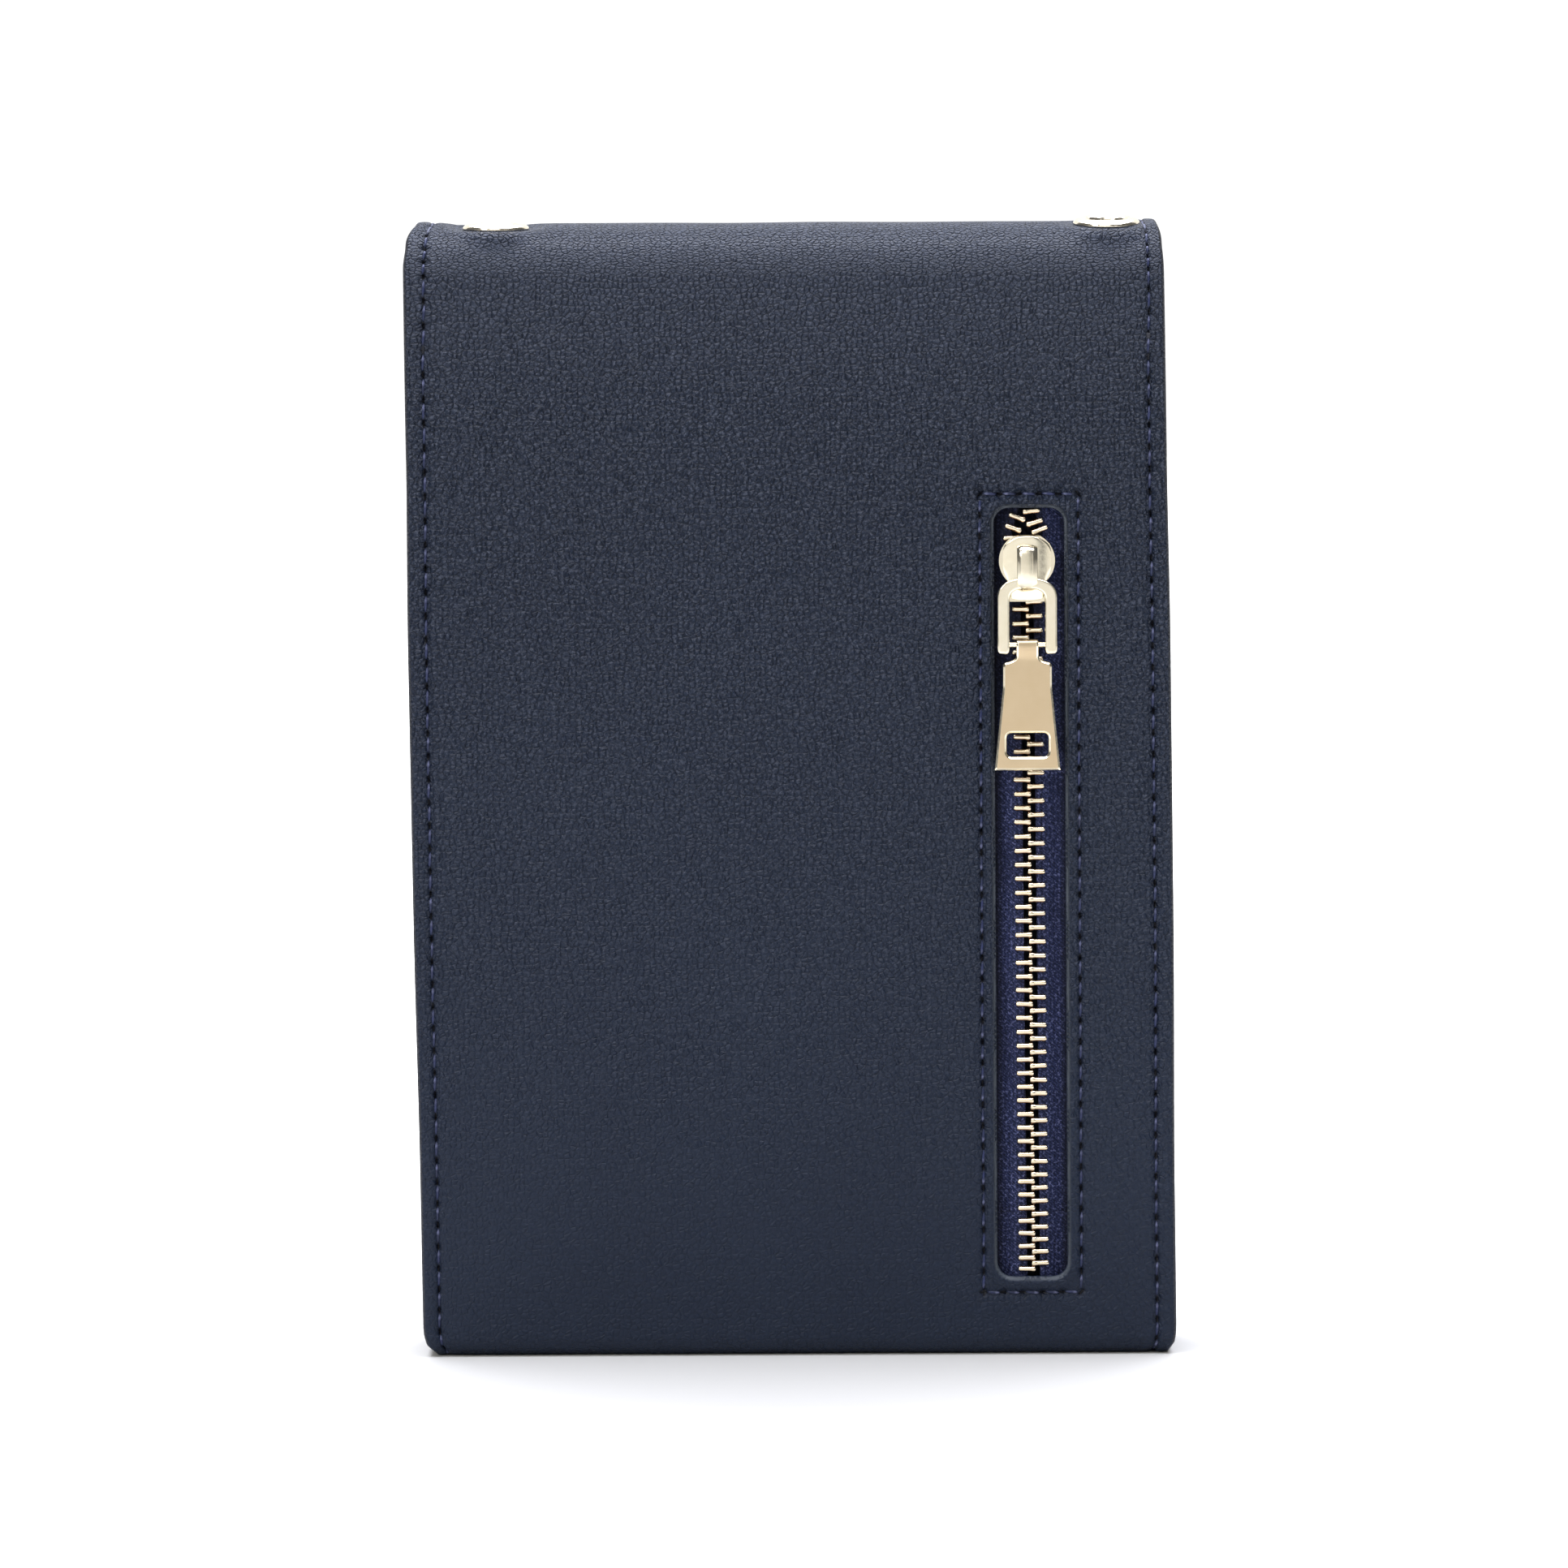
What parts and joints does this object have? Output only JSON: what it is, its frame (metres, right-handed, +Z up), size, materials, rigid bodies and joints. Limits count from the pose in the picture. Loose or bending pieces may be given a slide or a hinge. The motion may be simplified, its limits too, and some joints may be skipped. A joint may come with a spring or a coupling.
{
  "type": "passport holder",
  "caption": "Slim upright leather flap wallet for a passport and cards, with a zipped back pocket and top eyelets for a strap.",
  "frame": {"origin": "middle of the flat underside, between the back wall's foot and the front wall's foot", "axes": "+Z up; -Y faces out of the zipped back; +Y faces out of the flap; +X towards the zip side"},
  "size_m": [0.1114, 0.0269, 0.1679],
  "materials": {
    "navy_leather": "fine pebbled grain, satin",
    "navy_lining": "fine twill",
    "zip_tape": "knitted tape",
    "thread": "bonded thread",
    "pale_gold": "polished pale gold plating",
    "satin_gold": "satin pale gold plating",
    "steel": "plain pressed steel"
  },
  "bodies": {
    "case": {"back_panel": "navy_leather", "front_panel": "navy_leather", "gusset_right": "navy_leather", "gusset_left": "navy_leather", "zip_pocket_bag": "navy_lining", "back_lining": "navy_lining", "card_pocket_lower": "navy_leather", "card_pocket_middle": "navy_leather", "card_pocket_upper": "navy_leather", "front_lining": "navy_lining", "passport_pocket": "navy_lining", "bottom_lining": "navy_lining", "zipper_tape_left": "zip_tape", "zipper_tape_right": "zip_tape", "zipper_teeth_left": "pale_gold", "zipper_teeth_right": "pale_gold", "zipper_top_stops": "pale_gold", "zipper_bottom_stop": "pale_gold", "snap_socket": "pale_gold", "snap_socket_washer": "steel", "side_seam_threads": "thread", "zip_window_thread": "thread"},
    "flap_top": {"flap_bridge": "navy_leather", "flap_bridge_lining": "navy_lining", "flap_bridge_threads": "thread", "eyelet_left": "pale_gold", "eyelet_right": "pale_gold", "eyelet_washers": "pale_gold"},
    "flap": {"flap_leather": "navy_leather", "flap_lining": "navy_lining", "flap_thread": "thread", "snap_stud": "pale_gold", "snap_stud_washer": "steel"},
    "slider": {"slider_body": "pale_gold", "slider_crown": "pale_gold"},
    "yoke": {"pull_yoke": "pale_gold", "pull_pin": "pale_gold"},
    "plate": {"pull_plate": "satin_gold"}
  },
  "joints": [
    {"name": "flap_bridge_hinge", "type": "hinge", "parent": "case", "child": "flap_top", "pos_m": [0, -0.01039, 0.16529], "axis": [1, 0, 0], "range_deg": [0, 90]},
    {"name": "flap_front_hinge", "type": "hinge", "parent": "flap_top", "child": "flap", "pos_m": [0, 0.01039, 0.16529], "axis": [1, 0, 0], "range_deg": [0, 90]},
    {"name": "slider_travel", "type": "slide", "parent": "case", "child": "slider", "axis": [0.008, 0, -1], "range_m": [0, 0.096], "deforming": ["zipper_teeth_left", "zipper_teeth_right"]},
    {"name": "yoke_swing", "type": "hinge", "parent": "slider", "child": "yoke", "pos_m": [0.03472, -0.0134, 0.11435], "axis": [-1, 0, 0], "range_deg": [0, 110]},
    {"name": "plate_swing", "type": "hinge", "parent": "yoke", "child": "plate", "pos_m": [0.03472, -0.0134, 0.10535], "axis": [-1, 0, 0], "range_deg": [0, 60]}
  ],
  "couplings": [
    {"joint": "flap_front_hinge", "follows": "flap_bridge_hinge", "ratio": 1}
  ]
}
